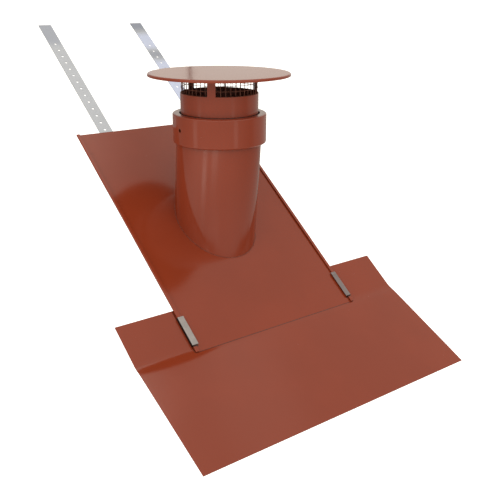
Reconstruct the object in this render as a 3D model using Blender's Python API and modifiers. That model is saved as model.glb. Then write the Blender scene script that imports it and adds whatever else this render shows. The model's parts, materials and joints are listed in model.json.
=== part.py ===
"""A metal vent outlet for a sloping tiled roof, in metres, +Z up.

A flat base plate with folded side edges lies on the roof. A short tube stands on it, and a
capped head with a wire net sits on the tube behind a rain collar. An apron sheet laps under
the plate's lower edge, two clips hold the plate's sides to it, and two perforated straps run
up the roof from the plate's upper edge.

The roof frame has +X across the roof, +Y up the slope and +Z square to the roof. Its origin
is on the roof side of the apron, where the roof carries the kit. The terminal frame is
upright, on the axis of the head, with its origin on the plate's upper face.
"""

import math

import bmesh
import bpy
from mathutils import Matrix, Vector

# The roof and what lies between neighbours
ROOF_PITCH = math.radians(35.0)
GAP = 0.0003
ROUND_STEPS = 60

# Base plate, a sheet with both side edges folded over
PLATE_WIDTH = 0.3816
PLATE_ABOVE_AXIS = 0.2984
PLATE_BELOW_AXIS = 0.2437
PLATE_THICKNESS = 0.0010
HEM_WIDTH = 0.0070
HEM_HEIGHT = 0.0040
HEM_STEPS = 6

# Apron, a sheet under the plate that bends flatter below it
APRON_WIDTH = 0.6110
APRON_THICKNESS = 0.0010
APRON_LAP = 0.0922
APRON_FALL = 0.2160
APRON_BEND_ANGLE = math.radians(10.6)
APRON_BEND_LENGTH = 0.0250
APRON_BEND_STEPS = 6

# Clips round the plate's folded edges
CLIP_LENGTH = 0.0610
CLIP_FROM_EDGE = 0.0125
CLIP_THICKNESS = 0.0010
CLIP_COVER = 0.0112
CLIP_REACH = 0.0250
CLIP_CORNER = 0.0012
CLIP_CORNER_STEPS = 3

# Perforated straps under the plate's upper edge
STRAP_WIDTH = 0.0305
STRAP_THICKNESS = 0.0015
STRAP_BEYOND_PLATE = 0.3586
STRAP_LAP = 0.0600
STRAP_LEFT_INSET = 0.0695
STRAP_RIGHT_INSET = 0.0751
STRAP_HOLE_DIAMETER = 0.0050
STRAP_HOLE_PITCH = 0.02165
STRAP_LEFT_FIRST_HOLE = 0.0680
STRAP_RIGHT_FIRST_HOLE = 0.0865
STRAP_HOLE_STEPS = 10

# Tube that stands on the plate and leans a little down the slope
TUBE_WALL = 0.0010
TUBE_LEAN = math.radians(4.46)
TUBE_CROSSES_BELOW_TOP = 0.0087
TUBE_ROUND_PIPE_GAP = 0.0036

# Rain collar over the tube's top
COLLAR_WALL = 0.0010
COLLAR_TOP = 0.2347
COLLAR_HEIGHT = 0.0565
COLLAR_FOOT_GAP = 0.0005
COLLAR_EDGE_RADIUS = 0.0028
COLLAR_FOOT_RADIUS = 0.0034
COLLAR_FOOT_TURN = math.radians(80.0)
COLLAR_LIP_DEPTH = 0.0040
COLLAR_LIP_RADIUS = 0.0015
COLLAR_BORE_GAP = 0.0020
COLLAR_ARC_STEPS = 2
SCREW_HOLE_DIAMETER = 0.0070
SCREW_HOLE_BELOW_TOP = 0.0270
SCREW_HOLE_STEPS = 16

# Head pipe with its three posts
PIPE_DIAMETER = 0.1500
PIPE_WALL = 0.0010
PIPE_BELOW_COLLAR_TOP = 0.0580
SILL_ABOVE_COLLAR = 0.0379
WINDOW_HEIGHT = 0.0361
POST_COUNT = 3
POST_WIDTH = 0.0160
FIRST_POST_TURN = math.radians(-46.0)
PAD_DEPTH = 0.0060

# Cap on the posts
CAP_DIAMETER = 0.2720
CAP_THICKNESS = 0.0010
CAP_RIM_DEPTH = 0.0054
CAP_EDGE_RADIUS = 0.0025
CAP_ARC_STEPS = 2

# Square wire net inside the windows
NET_WIRE = 0.0010
NET_PITCH = 0.0096
NET_BELOW_SILL = 0.0093

# Levels above the roof side of the apron, square to the roof
CLIP_LEVEL = APRON_THICKNESS + GAP
PLATE_LEVEL = CLIP_LEVEL + CLIP_THICKNESS + GAP
PLATE_FACE = PLATE_LEVEL + PLATE_THICKNESS
STRAP_LEVEL = PLATE_LEVEL - GAP - STRAP_THICKNESS

# Places up the slope, from the middle of the apron's flat upper part
APRON_FLAT = APRON_LAP - APRON_BEND_LENGTH / 2
PLATE_LOW_Y = APRON_FLAT / 2 - APRON_LAP
AXIS_Y = PLATE_LOW_Y + PLATE_BELOW_AXIS
PLATE_HIGH_Y = AXIS_Y + PLATE_ABOVE_AXIS

# Heights of the head above the plate's face, on the terminal's axis
COLLAR_FOOT = COLLAR_TOP - COLLAR_HEIGHT
COLLAR_UNDERSIDE = COLLAR_TOP - COLLAR_WALL
PIPE_FOOT = COLLAR_TOP - PIPE_BELOW_COLLAR_TOP
SILL_LEVEL = COLLAR_TOP + SILL_ABOVE_COLLAR
CAP_UNDERSIDE = SILL_LEVEL + WINDOW_HEIGHT
CAP_TOP = CAP_UNDERSIDE + CAP_THICKNESS
TUBE_CROSSES_AXIS = COLLAR_TOP - TUBE_CROSSES_BELOW_TOP

# The leaning tube clears the pipe's foot, and the collar's turned foot clears the tube
PIPE_RADIUS = PIPE_DIAMETER / 2
PIPE_INSIDE = PIPE_RADIUS - PIPE_WALL
SHIFT_AT_PIPE_FOOT = (TUBE_CROSSES_AXIS - PIPE_FOOT) * math.tan(TUBE_LEAN)
SHIFT_AT_COLLAR_FOOT = (TUBE_CROSSES_AXIS - COLLAR_FOOT) * math.tan(TUBE_LEAN)
TUBE_INSIDE = (PIPE_RADIUS + SHIFT_AT_PIPE_FOOT + TUBE_ROUND_PIPE_GAP) * math.cos(TUBE_LEAN)
TUBE_RADIUS = TUBE_INSIDE + TUBE_WALL
COLLAR_FOOT_INSIDE = TUBE_RADIUS / math.cos(TUBE_LEAN) + SHIFT_AT_COLLAR_FOOT + COLLAR_FOOT_GAP
COLLAR_FOOT_REACH = COLLAR_FOOT_RADIUS - (
    COLLAR_FOOT_RADIUS - COLLAR_WALL) * math.cos(COLLAR_FOOT_TURN)
COLLAR_RADIUS = COLLAR_FOOT_INSIDE + COLLAR_FOOT_REACH
COLLAR_BORE = PIPE_RADIUS + COLLAR_BORE_GAP

TERRACOTTA = (0.255, 0.062, 0.033)
ZINC = (0.42, 0.43, 0.43)


def clear_scene():
    for obj in list(bpy.data.objects):
        bpy.data.objects.remove(obj, do_unlink=True)


def new_collection(name, hidden=False):
    collection = bpy.data.collections.new(name)
    bpy.context.scene.collection.children.link(collection)
    collection.hide_render = hidden
    return collection


def new_material(name, colour, roughness, metallic):
    material = bpy.data.materials.new(name)
    material.use_nodes = True
    shader = material.node_tree.nodes["Principled BSDF"]
    shader.inputs["Base Color"].default_value = (*colour, 1.0)
    shader.inputs["Roughness"].default_value = roughness
    shader.inputs["Metallic"].default_value = metallic
    return material


def painted(name):
    return new_material(name + "_paint", TERRACOTTA, roughness=0.35, metallic=0.0)


def galvanised(name):
    return new_material(name + "_zinc", ZINC, roughness=0.40, metallic=1.0)


def place(name, data, collection, parent, material=None, location=(0, 0, 0), rotation=(0, 0, 0)):
    """Makes an object of data, in its parent's frame."""
    obj = bpy.data.objects.new(name, data)
    collection.objects.link(obj)
    obj.parent = parent
    obj.location = location
    obj.rotation_euler = rotation
    if material:
        data.materials.append(material)
    return obj


def frame(name, collection, location, rotation=(0, 0, 0)):
    empty = place(name, None, collection, None, location=location, rotation=rotation)
    empty.empty_display_size = 0.05
    return empty


def make_cutter(name, mesh, collection, parent, location=(0, 0, 0), rotation=(0, 0, 0)):
    cutter = place(name, mesh, collection, parent, location=location, rotation=rotation)
    cutter.hide_render = True
    cutter.display_type = "WIRE"
    return cutter


def combine(obj, other, operation):
    modifier = obj.modifiers.new(operation.title() + " " + other.name, "BOOLEAN")
    modifier.operation = operation
    modifier.solver = "EXACT"
    modifier.object = other


def thicken(obj, thickness, offset):
    """Gives an open surface a wall: offset 0 is half each way, -1 is all behind the faces."""
    modifier = obj.modifiers.new("Wall", "SOLIDIFY")
    modifier.thickness = thickness
    modifier.offset = offset
    modifier.use_even_offset = True


def mesh_from(bm, name):
    mesh = bpy.data.meshes.new(name)
    bm.to_mesh(mesh)
    bm.free()
    return mesh


def smooth(mesh):
    mesh.shade_smooth()
    mesh.set_sharp_from_angle(angle=math.radians(30))


def arc(across, up, radius, start, end, steps):
    """Points on an arc about (across, up), with its angles in degrees."""
    angles = [math.radians(start + (end - start) * i / steps) for i in range(steps + 1)]
    return [(across + radius * math.cos(a), up + radius * math.sin(a)) for a in angles]


def profile_mesh(name, points, closed):
    bm = bmesh.new()
    verts = [bm.verts.new((across, 0, up)) for across, up in points]
    for first, second in zip(verts, verts[1:]):
        bm.edges.new((first, second))
    if closed:
        bm.edges.new((verts[-1], verts[0]))
    return mesh_from(bm, name)


def turned(name, points, collection, parent, material, closed=False):
    """Turns a profile about the upright axis. Its outer side runs top to bottom."""
    obj = place(name, profile_mesh(name, points, closed), collection, parent, material)
    modifier = obj.modifiers.new("Turn", "SCREW")
    modifier.axis = "Z"
    modifier.steps = ROUND_STEPS
    modifier.render_steps = ROUND_STEPS
    modifier.use_merge_vertices = True
    modifier.merge_threshold = 0.00001
    modifier.use_smooth_shade = True
    return obj


def folded_sheet(name, points, length, thickness, collection, parent, material,
                 location=(0, 0, 0), rotation=(0, 0, 0)):
    """A sheet whose middle line is the points in XZ, running length along Y."""
    bm = bmesh.new()
    verts = [bm.verts.new((across, -length / 2, up)) for across, up in points]
    edges = [bm.edges.new(pair) for pair in zip(verts, verts[1:])]
    made = bmesh.ops.extrude_edge_only(bm, edges=edges)["geom"]
    moved = [item for item in made if isinstance(item, bmesh.types.BMVert)]
    bmesh.ops.translate(bm, verts=moved, vec=(0, length, 0))
    mesh = mesh_from(bm, name)
    smooth(mesh)
    obj = place(name, mesh, collection, parent, material, location, rotation)
    thicken(obj, thickness, offset=0)
    return obj


def box_mesh(name, low, high):
    bm = bmesh.new()
    bmesh.ops.create_cube(bm, size=1)
    size = Vector(high) - Vector(low)
    bmesh.ops.scale(bm, vec=size, verts=bm.verts)
    bmesh.ops.translate(bm, vec=Vector(low) + size / 2, verts=bm.verts)
    return mesh_from(bm, name)


def cylinder_mesh(name, radius, length, steps):
    """A closed cylinder about Z, centred on the origin."""
    bm = bmesh.new()
    bmesh.ops.create_cone(bm, cap_ends=True, segments=steps, radius1=radius, radius2=radius,
                          depth=length)
    mesh = mesh_from(bm, name)
    smooth(mesh)
    return mesh


def post_turns():
    return [FIRST_POST_TURN + 2 * math.pi * i / POST_COUNT for i in range(POST_COUNT)]


def make_base_plate(parts, roof, duct_bore):
    """The sheet lies flat and each side edge curls up and back over it."""
    bend = (HEM_HEIGHT - PLATE_THICKNESS) / 2
    bend_x = PLATE_WIDTH / 2 - PLATE_THICKNESS / 2 - bend
    right = arc(bend_x, bend, bend, -90, 90, HEM_STEPS)
    right.append((PLATE_WIDTH / 2 - HEM_WIDTH, 2 * bend))
    left = [(-x, z) for x, z in reversed(right)]
    length = PLATE_ABOVE_AXIS + PLATE_BELOW_AXIS
    place_at = (0, PLATE_LOW_Y + length / 2, PLATE_LEVEL + PLATE_THICKNESS / 2)
    plate = folded_sheet("base_plate", left + right, length, PLATE_THICKNESS, parts, roof,
                         painted("base_plate"), location=place_at)
    combine(plate, duct_bore, "DIFFERENCE")


def make_apron(parts, roof):
    """Flat under the plate, then bent flatter from about the plate's lower edge down."""
    middle = APRON_THICKNESS / 2
    bend_from = PLATE_LOW_Y + APRON_BEND_LENGTH / 2
    radius = APRON_BEND_LENGTH / APRON_BEND_ANGLE
    turn = math.degrees(APRON_BEND_ANGLE)
    bend = arc(bend_from, middle + radius, radius, -90, -90 - turn, APRON_BEND_STEPS)
    low = APRON_FALL - APRON_BEND_LENGTH / 2
    end_y = bend[-1][0] - low * math.cos(APRON_BEND_ANGLE)
    end_z = bend[-1][1] + low * math.sin(APRON_BEND_ANGLE)
    points = [(PLATE_LOW_Y + APRON_LAP, middle), *bend, (end_y, end_z)]
    folded_sheet("apron_sheet", points, APRON_WIDTH, APRON_THICKNESS, parts, roof,
                 painted("apron_sheet"), rotation=(0, 0, math.pi / 2))


def make_clips(parts, roof):
    """Each clip wraps one folded edge, with its lower leaf between plate and apron."""
    outside = PLATE_WIDTH / 2 + GAP + CLIP_THICKNESS / 2
    top = PLATE_LEVEL + HEM_HEIGHT + GAP + CLIP_THICKNESS / 2
    bottom = CLIP_LEVEL + CLIP_THICKNESS / 2
    corner = outside - CLIP_CORNER
    shape = [(PLATE_WIDTH / 2 - CLIP_COVER, top)]
    shape += arc(corner, top - CLIP_CORNER, CLIP_CORNER, 90, 0, CLIP_CORNER_STEPS)
    shape += arc(corner, bottom + CLIP_CORNER, CLIP_CORNER, 0, -90, CLIP_CORNER_STEPS)
    shape.append((PLATE_WIDTH / 2 - CLIP_REACH, bottom))
    middle = PLATE_LOW_Y + CLIP_FROM_EDGE + CLIP_LENGTH / 2
    for name, side in (("clip_left", -1), ("clip_right", 1)):
        points = [(side * x, z) for x, z in shape]
        folded_sheet(name, points, CLIP_LENGTH, CLIP_THICKNESS, parts, roof,
                     galvanised(name), location=(0, middle, 0))


def add_outline(curve, points):
    spline = curve.splines.new("POLY")
    spline.points.add(len(points) - 1)
    for point, (x, y) in zip(spline.points, points):
        point.co = (x, y, 0, 1)
    spline.use_cyclic_u = True


def make_straps(parts, roof):
    """A flat bar with a row of holes on its middle line, plain at its far end."""
    length = STRAP_BEYOND_PLATE + STRAP_LAP
    half = STRAP_WIDTH / 2
    radius = STRAP_HOLE_DIAMETER / 2
    far_end = PLATE_HIGH_Y + STRAP_BEYOND_PLATE
    left_x = STRAP_LEFT_INSET - PLATE_WIDTH / 2
    right_x = PLATE_WIDTH / 2 - STRAP_RIGHT_INSET
    for name, x, first_hole in (("strap_left", left_x, STRAP_LEFT_FIRST_HOLE),
                                ("strap_right", right_x, STRAP_RIGHT_FIRST_HOLE)):
        holes = int((length - first_hole - 2 * radius) / STRAP_HOLE_PITCH) + 1
        curve = bpy.data.curves.new(name, "CURVE")
        curve.dimensions = "2D"
        curve.fill_mode = "BOTH"
        curve.extrude = STRAP_THICKNESS / 2
        add_outline(curve, [(-half, -length), (half, -length), (half, 0), (-half, 0)])
        for i in range(holes):
            down = -first_hole - i * STRAP_HOLE_PITCH
            add_outline(curve, arc(0, down, radius, 0, 360, STRAP_HOLE_STEPS)[:-1])
        place(name, curve, parts, roof, galvanised(name),
              location=(x, far_end, STRAP_LEVEL + STRAP_THICKNESS / 2))


def tube_middle():
    """Half way up the leaning tube, on its own axis, in the terminal frame."""
    height = TUBE_CROSSES_AXIS / 2
    return Vector((0, (TUBE_CROSSES_AXIS - height) * math.tan(TUBE_LEAN), height))


def make_duct_bore(cutters, terminal):
    """The clear way through the leaning tube, which also opens the plate."""
    mesh = cylinder_mesh("duct_bore", TUBE_INSIDE, 2 * COLLAR_TOP, ROUND_STEPS)
    return make_cutter("duct_bore", mesh, cutters, terminal, location=tube_middle(),
                       rotation=(TUBE_LEAN, 0, 0))


def make_tube(parts, cutters, roof, terminal, duct_bore):
    """It stands on the plate, cut to the slope below and level under the collar's top."""
    length = 2 * COLLAR_TOP
    mesh = cylinder_mesh("sleeve_tube", TUBE_RADIUS, length, ROUND_STEPS)
    tube = place("sleeve_tube", mesh, parts, terminal, painted("sleeve_tube"),
                 location=tube_middle(), rotation=(TUBE_LEAN, 0, 0))
    reach = 2 * length
    above = box_mesh("level_cut", (-reach, -reach, COLLAR_UNDERSIDE - GAP),
                     (reach, reach, reach))
    below = box_mesh("slope_cut", (-reach, -reach, -reach), (reach, reach, PLATE_FACE + GAP))
    combine(tube, make_cutter("level_cut", above, cutters, terminal), "DIFFERENCE")
    combine(tube, make_cutter("slope_cut", below, cutters, roof), "DIFFERENCE")
    combine(tube, duct_bore, "DIFFERENCE")


def make_collar(parts, cutters, terminal):
    """A sheet ring: a lip round the pipe, a flat top, a skirt and a foot turned in."""
    lip = COLLAR_LIP_RADIUS
    edge = COLLAR_EDGE_RADIUS
    turn = COLLAR_FOOT_RADIUS
    steps = COLLAR_ARC_STEPS
    points = [(COLLAR_BORE, COLLAR_TOP - COLLAR_LIP_DEPTH)]
    points += arc(COLLAR_BORE + lip, COLLAR_TOP - lip, lip, 180, 90, steps)
    points += arc(COLLAR_RADIUS - edge, COLLAR_TOP - edge, edge, 90, 0, steps)
    points += arc(COLLAR_RADIUS - turn, COLLAR_FOOT + turn, turn, 0,
                  -math.degrees(COLLAR_FOOT_TURN), steps)
    collar = turned("rain_collar", points, parts, terminal, painted("rain_collar"))
    thicken(collar, COLLAR_WALL, offset=-1)
    mesh = cylinder_mesh("screw_holes", SCREW_HOLE_DIAMETER / 2, 4 * COLLAR_RADIUS,
                         SCREW_HOLE_STEPS)
    drill = make_cutter("screw_holes", mesh, cutters, terminal,
                        location=(0, 0, COLLAR_TOP - SCREW_HOLE_BELOW_TOP),
                        rotation=(0, math.pi / 2, 0))
    combine(collar, drill, "DIFFERENCE")


def make_head_pipe(parts, cutters, terminal):
    """The pipe is cut away above the sill, except for the posts, which carry the cap."""
    top = CAP_UNDERSIDE - GAP
    points = [(PIPE_RADIUS, top), (PIPE_RADIUS, PIPE_FOOT), (PIPE_INSIDE, PIPE_FOOT),
              (PIPE_INSIDE, top)]
    pipe = turned("head_pipe", points, parts, terminal, painted("head_pipe"), closed=True)
    reach = 2 * PIPE_RADIUS
    cut_height = 2 * WINDOW_HEIGHT
    windows = make_cutter("windows", cylinder_mesh("windows", reach, cut_height, ROUND_STEPS),
                          cutters, terminal, location=(0, 0, SILL_LEVEL + cut_height / 2))
    half = POST_WIDTH / 2
    pad_face = math.sqrt((COLLAR_BORE - GAP) ** 2 - half ** 2)
    for number, turn in enumerate(post_turns(), start=1):
        kept = box_mesh("post_keep", (-half, -2 * reach, SILL_LEVEL - half),
                        (half, 0, SILL_LEVEL + 2 * cut_height))
        post = make_cutter("post_keep_%d" % number, kept, cutters, terminal,
                           rotation=(0, 0, turn))
        combine(windows, post, "DIFFERENCE")
        pad = box_mesh("pad", (-half, -pad_face, COLLAR_TOP - PAD_DEPTH),
                       (half, -PIPE_INSIDE - PIPE_WALL / 2, COLLAR_TOP))
        combine(pipe, make_cutter("pad_%d" % number, pad, cutters, terminal,
                                  rotation=(0, 0, turn)), "UNION")
    combine(pipe, windows, "DIFFERENCE")


def make_cap(parts, terminal):
    """A flat disc with its edge turned down."""
    radius = CAP_DIAMETER / 2
    edge = CAP_EDGE_RADIUS
    points = [(0, CAP_TOP)]
    points += arc(radius - edge, CAP_TOP - edge, edge, 90, 0, CAP_ARC_STEPS)
    points.append((radius, CAP_TOP - CAP_RIM_DEPTH))
    cap = turned("cap_disc", points, parts, terminal, painted("cap_disc"))
    thicken(cap, CAP_THICKNESS, offset=-1)


def make_net(parts, terminal):
    """Upright and level wires, welded where they cross, just inside the pipe."""
    radius = PIPE_INSIDE * math.cos(math.pi / ROUND_STEPS) - GAP - NET_WIRE / 2
    around = round(2 * math.pi * radius / NET_PITCH)
    low = SILL_LEVEL - NET_BELOW_SILL
    rows = int((CAP_UNDERSIDE - GAP - NET_WIRE - low) / NET_PITCH)
    bm = bmesh.new()
    bmesh.ops.create_circle(bm, cap_ends=False, segments=around, radius=radius)
    bmesh.ops.translate(bm, verts=bm.verts, vec=(0, 0, low))
    edges = list(bm.edges)
    for _ in range(rows):
        made = bmesh.ops.extrude_edge_only(bm, edges=edges)["geom"]
        moved = [item for item in made if isinstance(item, bmesh.types.BMVert)]
        edges = [item for item in made if isinstance(item, bmesh.types.BMEdge)]
        edges = [edge for edge in edges if all(vert in moved for vert in edge.verts)]
        bmesh.ops.translate(bm, verts=moved, vec=(0, 0, NET_PITCH))
    net = place("bird_net", mesh_from(bm, "bird_net"), parts, terminal, galvanised("bird_net"))
    modifier = net.modifiers.new("Wires", "WIREFRAME")
    modifier.thickness = NET_WIRE
    modifier.use_boundary = True
    modifier.use_even_offset = True
    modifier.use_replace = True


def main():
    clear_scene()
    parts = new_collection("roof_vent_outlet")
    cutters = new_collection("cutters", hidden=True)
    slope = Matrix.Rotation(ROOF_PITCH, 3, "X")
    roof = frame("roof_frame", parts, (0, 0, 0), (ROOF_PITCH, 0, 0))
    terminal = frame("terminal_frame", parts, slope @ Vector((0, AXIS_Y, PLATE_FACE)))
    duct_bore = make_duct_bore(cutters, terminal)
    make_base_plate(parts, roof, duct_bore)
    make_apron(parts, roof)
    make_clips(parts, roof)
    make_straps(parts, roof)
    make_tube(parts, cutters, roof, terminal, duct_bore)
    make_collar(parts, cutters, terminal)
    make_head_pipe(parts, cutters, terminal)
    make_cap(parts, terminal)
    make_net(parts, terminal)


main()
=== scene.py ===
"""Roof vent outlet: the finish of a painted metal vent kit, as built into a sloping roof.

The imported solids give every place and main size. Each sheet, tube and wire is modelled here
once more as a fine piece with folded, rounded and welded edges, and gets its paint or zinc.
The roof frame has +Y up the slope and +Z square to the roof. The terminal frame is upright,
on the axis of the vent's head, with heights in the row frame.
"""

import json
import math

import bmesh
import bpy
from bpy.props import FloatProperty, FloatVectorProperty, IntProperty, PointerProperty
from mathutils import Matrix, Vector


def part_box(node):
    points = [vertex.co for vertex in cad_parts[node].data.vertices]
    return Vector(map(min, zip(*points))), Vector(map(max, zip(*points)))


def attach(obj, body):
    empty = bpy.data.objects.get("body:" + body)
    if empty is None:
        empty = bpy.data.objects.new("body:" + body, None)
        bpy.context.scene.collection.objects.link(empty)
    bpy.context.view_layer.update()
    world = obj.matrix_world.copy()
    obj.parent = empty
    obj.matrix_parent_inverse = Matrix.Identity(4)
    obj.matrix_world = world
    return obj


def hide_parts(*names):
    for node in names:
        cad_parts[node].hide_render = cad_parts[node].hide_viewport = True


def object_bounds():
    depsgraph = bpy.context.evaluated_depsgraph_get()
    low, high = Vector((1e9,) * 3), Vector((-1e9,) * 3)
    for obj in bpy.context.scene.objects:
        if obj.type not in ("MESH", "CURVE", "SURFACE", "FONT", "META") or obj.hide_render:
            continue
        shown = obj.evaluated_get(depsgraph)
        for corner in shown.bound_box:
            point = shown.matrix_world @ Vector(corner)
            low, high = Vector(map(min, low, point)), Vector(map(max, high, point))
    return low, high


bl_info = {
    "name": "Roof vent outlet",
    "version": (1, 0, 0),
    "blender": (4, 5, 0),
    "location": "3D View > Sidebar > Roof Vent",
    "description": "Builds a painted roof vent outlet with its flashing, clips and straps",
    "category": "Object",
}

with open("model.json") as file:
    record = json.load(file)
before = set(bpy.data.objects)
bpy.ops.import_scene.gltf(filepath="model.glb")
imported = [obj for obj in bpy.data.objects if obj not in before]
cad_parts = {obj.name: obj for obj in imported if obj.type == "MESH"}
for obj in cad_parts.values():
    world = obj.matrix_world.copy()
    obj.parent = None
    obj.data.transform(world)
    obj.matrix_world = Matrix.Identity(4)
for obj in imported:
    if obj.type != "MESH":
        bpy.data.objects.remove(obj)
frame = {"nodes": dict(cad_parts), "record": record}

CAD_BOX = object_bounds()
MOUNTS = {mount["name"]: mount for mount in frame["record"]["mounts"]}


def slope_of(mount_name):
    """How steeply the face of a mount lies, from its outward normal."""
    _, along, up = MOUNTS[mount_name]["axis"]
    return math.atan2(along, -up)


ROOF_PITCH = slope_of("roof_seat")
APRON_BEND = ROOF_PITCH - slope_of("apron_foot")
ROOF = Matrix.Rotation(ROOF_PITCH, 4, "X")


def roof_box(node):
    """A solid's lowest and highest corners in the roof frame."""
    points = [ROOF.inverted() @ vert.co for vert in frame["nodes"][node].data.vertices]
    low = Vector(min(point[axis] for point in points) for axis in range(3))
    high = Vector(max(point[axis] for point in points) for axis in range(3))
    return low, high


PLATE_LOW, PLATE_HIGH = roof_box("base_plate")
CAP_LOW, CAP_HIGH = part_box("cap_disc")
COLLAR_LOW, COLLAR_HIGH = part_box("rain_collar")
PIPE_LOW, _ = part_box("head_pipe")
AXIS_Y = (CAP_LOW.y + CAP_HIGH.y) / 2
AXIS = Matrix.Translation((0, AXIS_Y, 0))

# Lengths that the solids have too: the clearance between pieces and the pads under the posts
GAP = 0.0003
PAD_DEPTH = 0.006

# Steps in which the plate's lower edge and the apron are bent
DRIP_STEPS = 6
BEND_STEPS = 12

# Edges sharper than these angles are deburred, and shaded as edges
DEBURR_ANGLE = math.radians(50)
SHADE_ANGLE = math.radians(35)

# How sharply a line of painted shade ends
SHADE_LINE_EDGE = 0.0007


# Settings for the panel: lengths in metres, angles given in degrees, colours and shares

def length_setting(name, description, default, **limits):
    return FloatProperty(name=name, description=description, default=default, unit="LENGTH",
                         **limits)


def angle_setting(name, description, degrees, **limits):
    return FloatProperty(name=name, description=description, default=math.radians(degrees),
                         unit="ROTATION", **limits)


def colour_setting(name, description, default):
    return FloatVectorProperty(name=name, description=description, default=default,
                               subtype="COLOR", size=3, min=0.0, max=1.0)


def share_setting(name, description, default):
    return FloatProperty(name=name, description=description, default=default,
                         subtype="FACTOR", min=0.0, max=1.0)


class RoofVentSizes(bpy.types.PropertyGroup):
    """Sizes that a maker of such a vent would choose."""

    sheet: length_setting("Sheet", "Thickness of every painted sheet", 0.001, min=0.0004)
    edge_round: length_setting(
        "Edge rounding", "Radius left by deburring a cut sheet edge", 0.0003, min=0.0)
    wave: length_setting(
        "Sheet wave", "How far the flat sheets bulge in and out", 0.0006, min=0.0)
    hem_width: length_setting(
        "Hem width", "Width of the plate's folded side edges", 0.007, min=0.003)
    drip_length: length_setting(
        "Drip length", "Length of the plate's lower edge that dips", 0.014, min=0.0)
    drip_angle: angle_setting("Drip angle", "How far the plate's lower edge dips", 3.0, min=0.0)
    bend_length: length_setting(
        "Apron bend length", "Length over which the apron bends", 0.025, min=0.005)
    bend_spring: angle_setting(
        "Apron bend spring", "How much too far the apron's bend goes", 7.0, min=0.0)
    clip_corner: length_setting("Clip corner", "Bending radius of the clips", 0.0012, min=0.0005)
    clip_cover: length_setting("Clip cover", "Width of a clip's upper leaf", 0.0112, min=0.004)
    strap_hole: length_setting(
        "Strap hole", "Diameter of the holes in the straps", 0.005, min=0.001)
    strap_pitch: length_setting(
        "Strap hole pitch", "Distance between the holes in the straps", 0.02165, min=0.01)
    strap_left_first: length_setting(
        "First hole, left", "From the left strap's free end to its first hole", 0.068, min=0.005)
    strap_right_first: length_setting(
        "First hole, right", "From the right strap's free end to its first hole", 0.0865,
        min=0.005)
    tube_lean: angle_setting("Tube lean", "How far the tube leans down the slope", 4.46)
    tube_radius: length_setting(
        "Tube radius", "Outer radius of the tube on the plate", 0.0832, min=0.05)
    tube_cross: length_setting(
        "Tube crossing", "Where the tube's axis crosses the head's, below the collar's top",
        0.0087)
    foot_weld: length_setting(
        "Foot weld", "Radius of the weld bead round the tube's foot", 0.0009, min=0.0005)
    collar_edge: length_setting(
        "Collar edge", "Rounding of the collar's upper edge", 0.0028, min=0.001)
    collar_bore_edge: length_setting(
        "Collar bore edge", "Rounding of the collar's edge round the pipe", 0.0015, min=0.0005)
    collar_foot: length_setting(
        "Collar foot", "Rounding of the collar's turned-in foot", 0.0034, min=0.001)
    collar_lip: length_setting(
        "Collar lip", "Depth of the collar's lip round the pipe", 0.004, min=0.001)
    collar_gap: length_setting(
        "Collar gap", "Gap between the pipe and the collar's lip", 0.002, min=0.0005)
    screw_hole: length_setting(
        "Screw hole", "Diameter of the holes in the collar's skirt", 0.007, min=0.002)
    screw_drop: length_setting(
        "Screw drop", "From the collar's top down to its screw holes", 0.027, min=0.005)
    pipe_radius: length_setting("Pipe radius", "Outer radius of the head pipe", 0.075, min=0.04)
    window_height: length_setting(
        "Window height", "Height of the windows under the cap", 0.0361, min=0.01)
    post_width: length_setting(
        "Post width", "Width of the posts between the windows", 0.016, min=0.004)
    post_count: IntProperty(
        name="Posts", description="Number of posts that carry the cap", default=3, min=2)
    post_turn: angle_setting(
        "First post", "Turn of the first post from straight down the slope", -46.0)
    cap_edge: length_setting(
        "Cap edge", "Rounding of the cap's turned-down edge", 0.0025, min=0.0005)
    cap_tilt: angle_setting("Cap tilt", "How far the fitted cap leans up the slope", 0.37)
    wire: length_setting("Wire", "Thickness of the net's wires", 0.001, min=0.0004)
    net_pitch: length_setting("Net pitch", "Distance between the net's wires", 0.0096, min=0.004)
    net_turn: angle_setting(
        "Net turn", "Turn of an upright wire from straight down the slope", -32.9)
    net_lap: angle_setting(
        "Net lap", "Turn of the net's lapped ends from straight down the slope", 136.9)


class RoofVentColours(bpy.types.PropertyGroup):
    """Colours and sheens of the finishes and of the studio."""

    paint: colour_setting("Paint", "Terracotta coating", (0.262, 0.0405, 0.0150))
    paint_roughness: share_setting("Paint roughness", "Roughness of the coating", 0.13)
    zinc: colour_setting("Zinc", "Galvanised strip", (0.52, 0.550, 0.610))
    # Colour of the painted sheen on the straps
    painted_zinc_sheen: colour_setting("Zinc sheen", "Bright stretches of the straps", (0.66, 0.73, 0.96))
    zinc_roughness: share_setting("Zinc roughness", "Roughness of the galvanised strip", 0.33)
    wire: colour_setting("Wire", "Coated wire of the net", (0.150, 0.045, 0.024))
    floor: colour_setting("Floor", "Studio floor", (0.94, 0.94, 0.94))


# Shader nodes as Python expressions

class Value:
    """A shader socket that takes part in sums."""

    def __init__(self, nodes, socket):
        self.nodes = nodes
        self.socket = socket

    def _sum(self, operation, first, second):
        return self.nodes.add("ShaderNodeMath", {"operation": operation}, {0: first, 1: second})

    def __add__(self, other):
        return self._sum("ADD", self, other)

    def __radd__(self, other):
        return self._sum("ADD", other, self)

    def __sub__(self, other):
        return self._sum("SUBTRACT", self, other)

    def __rsub__(self, other):
        return self._sum("SUBTRACT", other, self)

    def __mul__(self, other):
        return self._sum("MULTIPLY", self, other)

    def __truediv__(self, other):
        return self._sum("DIVIDE", self, other)


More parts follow.
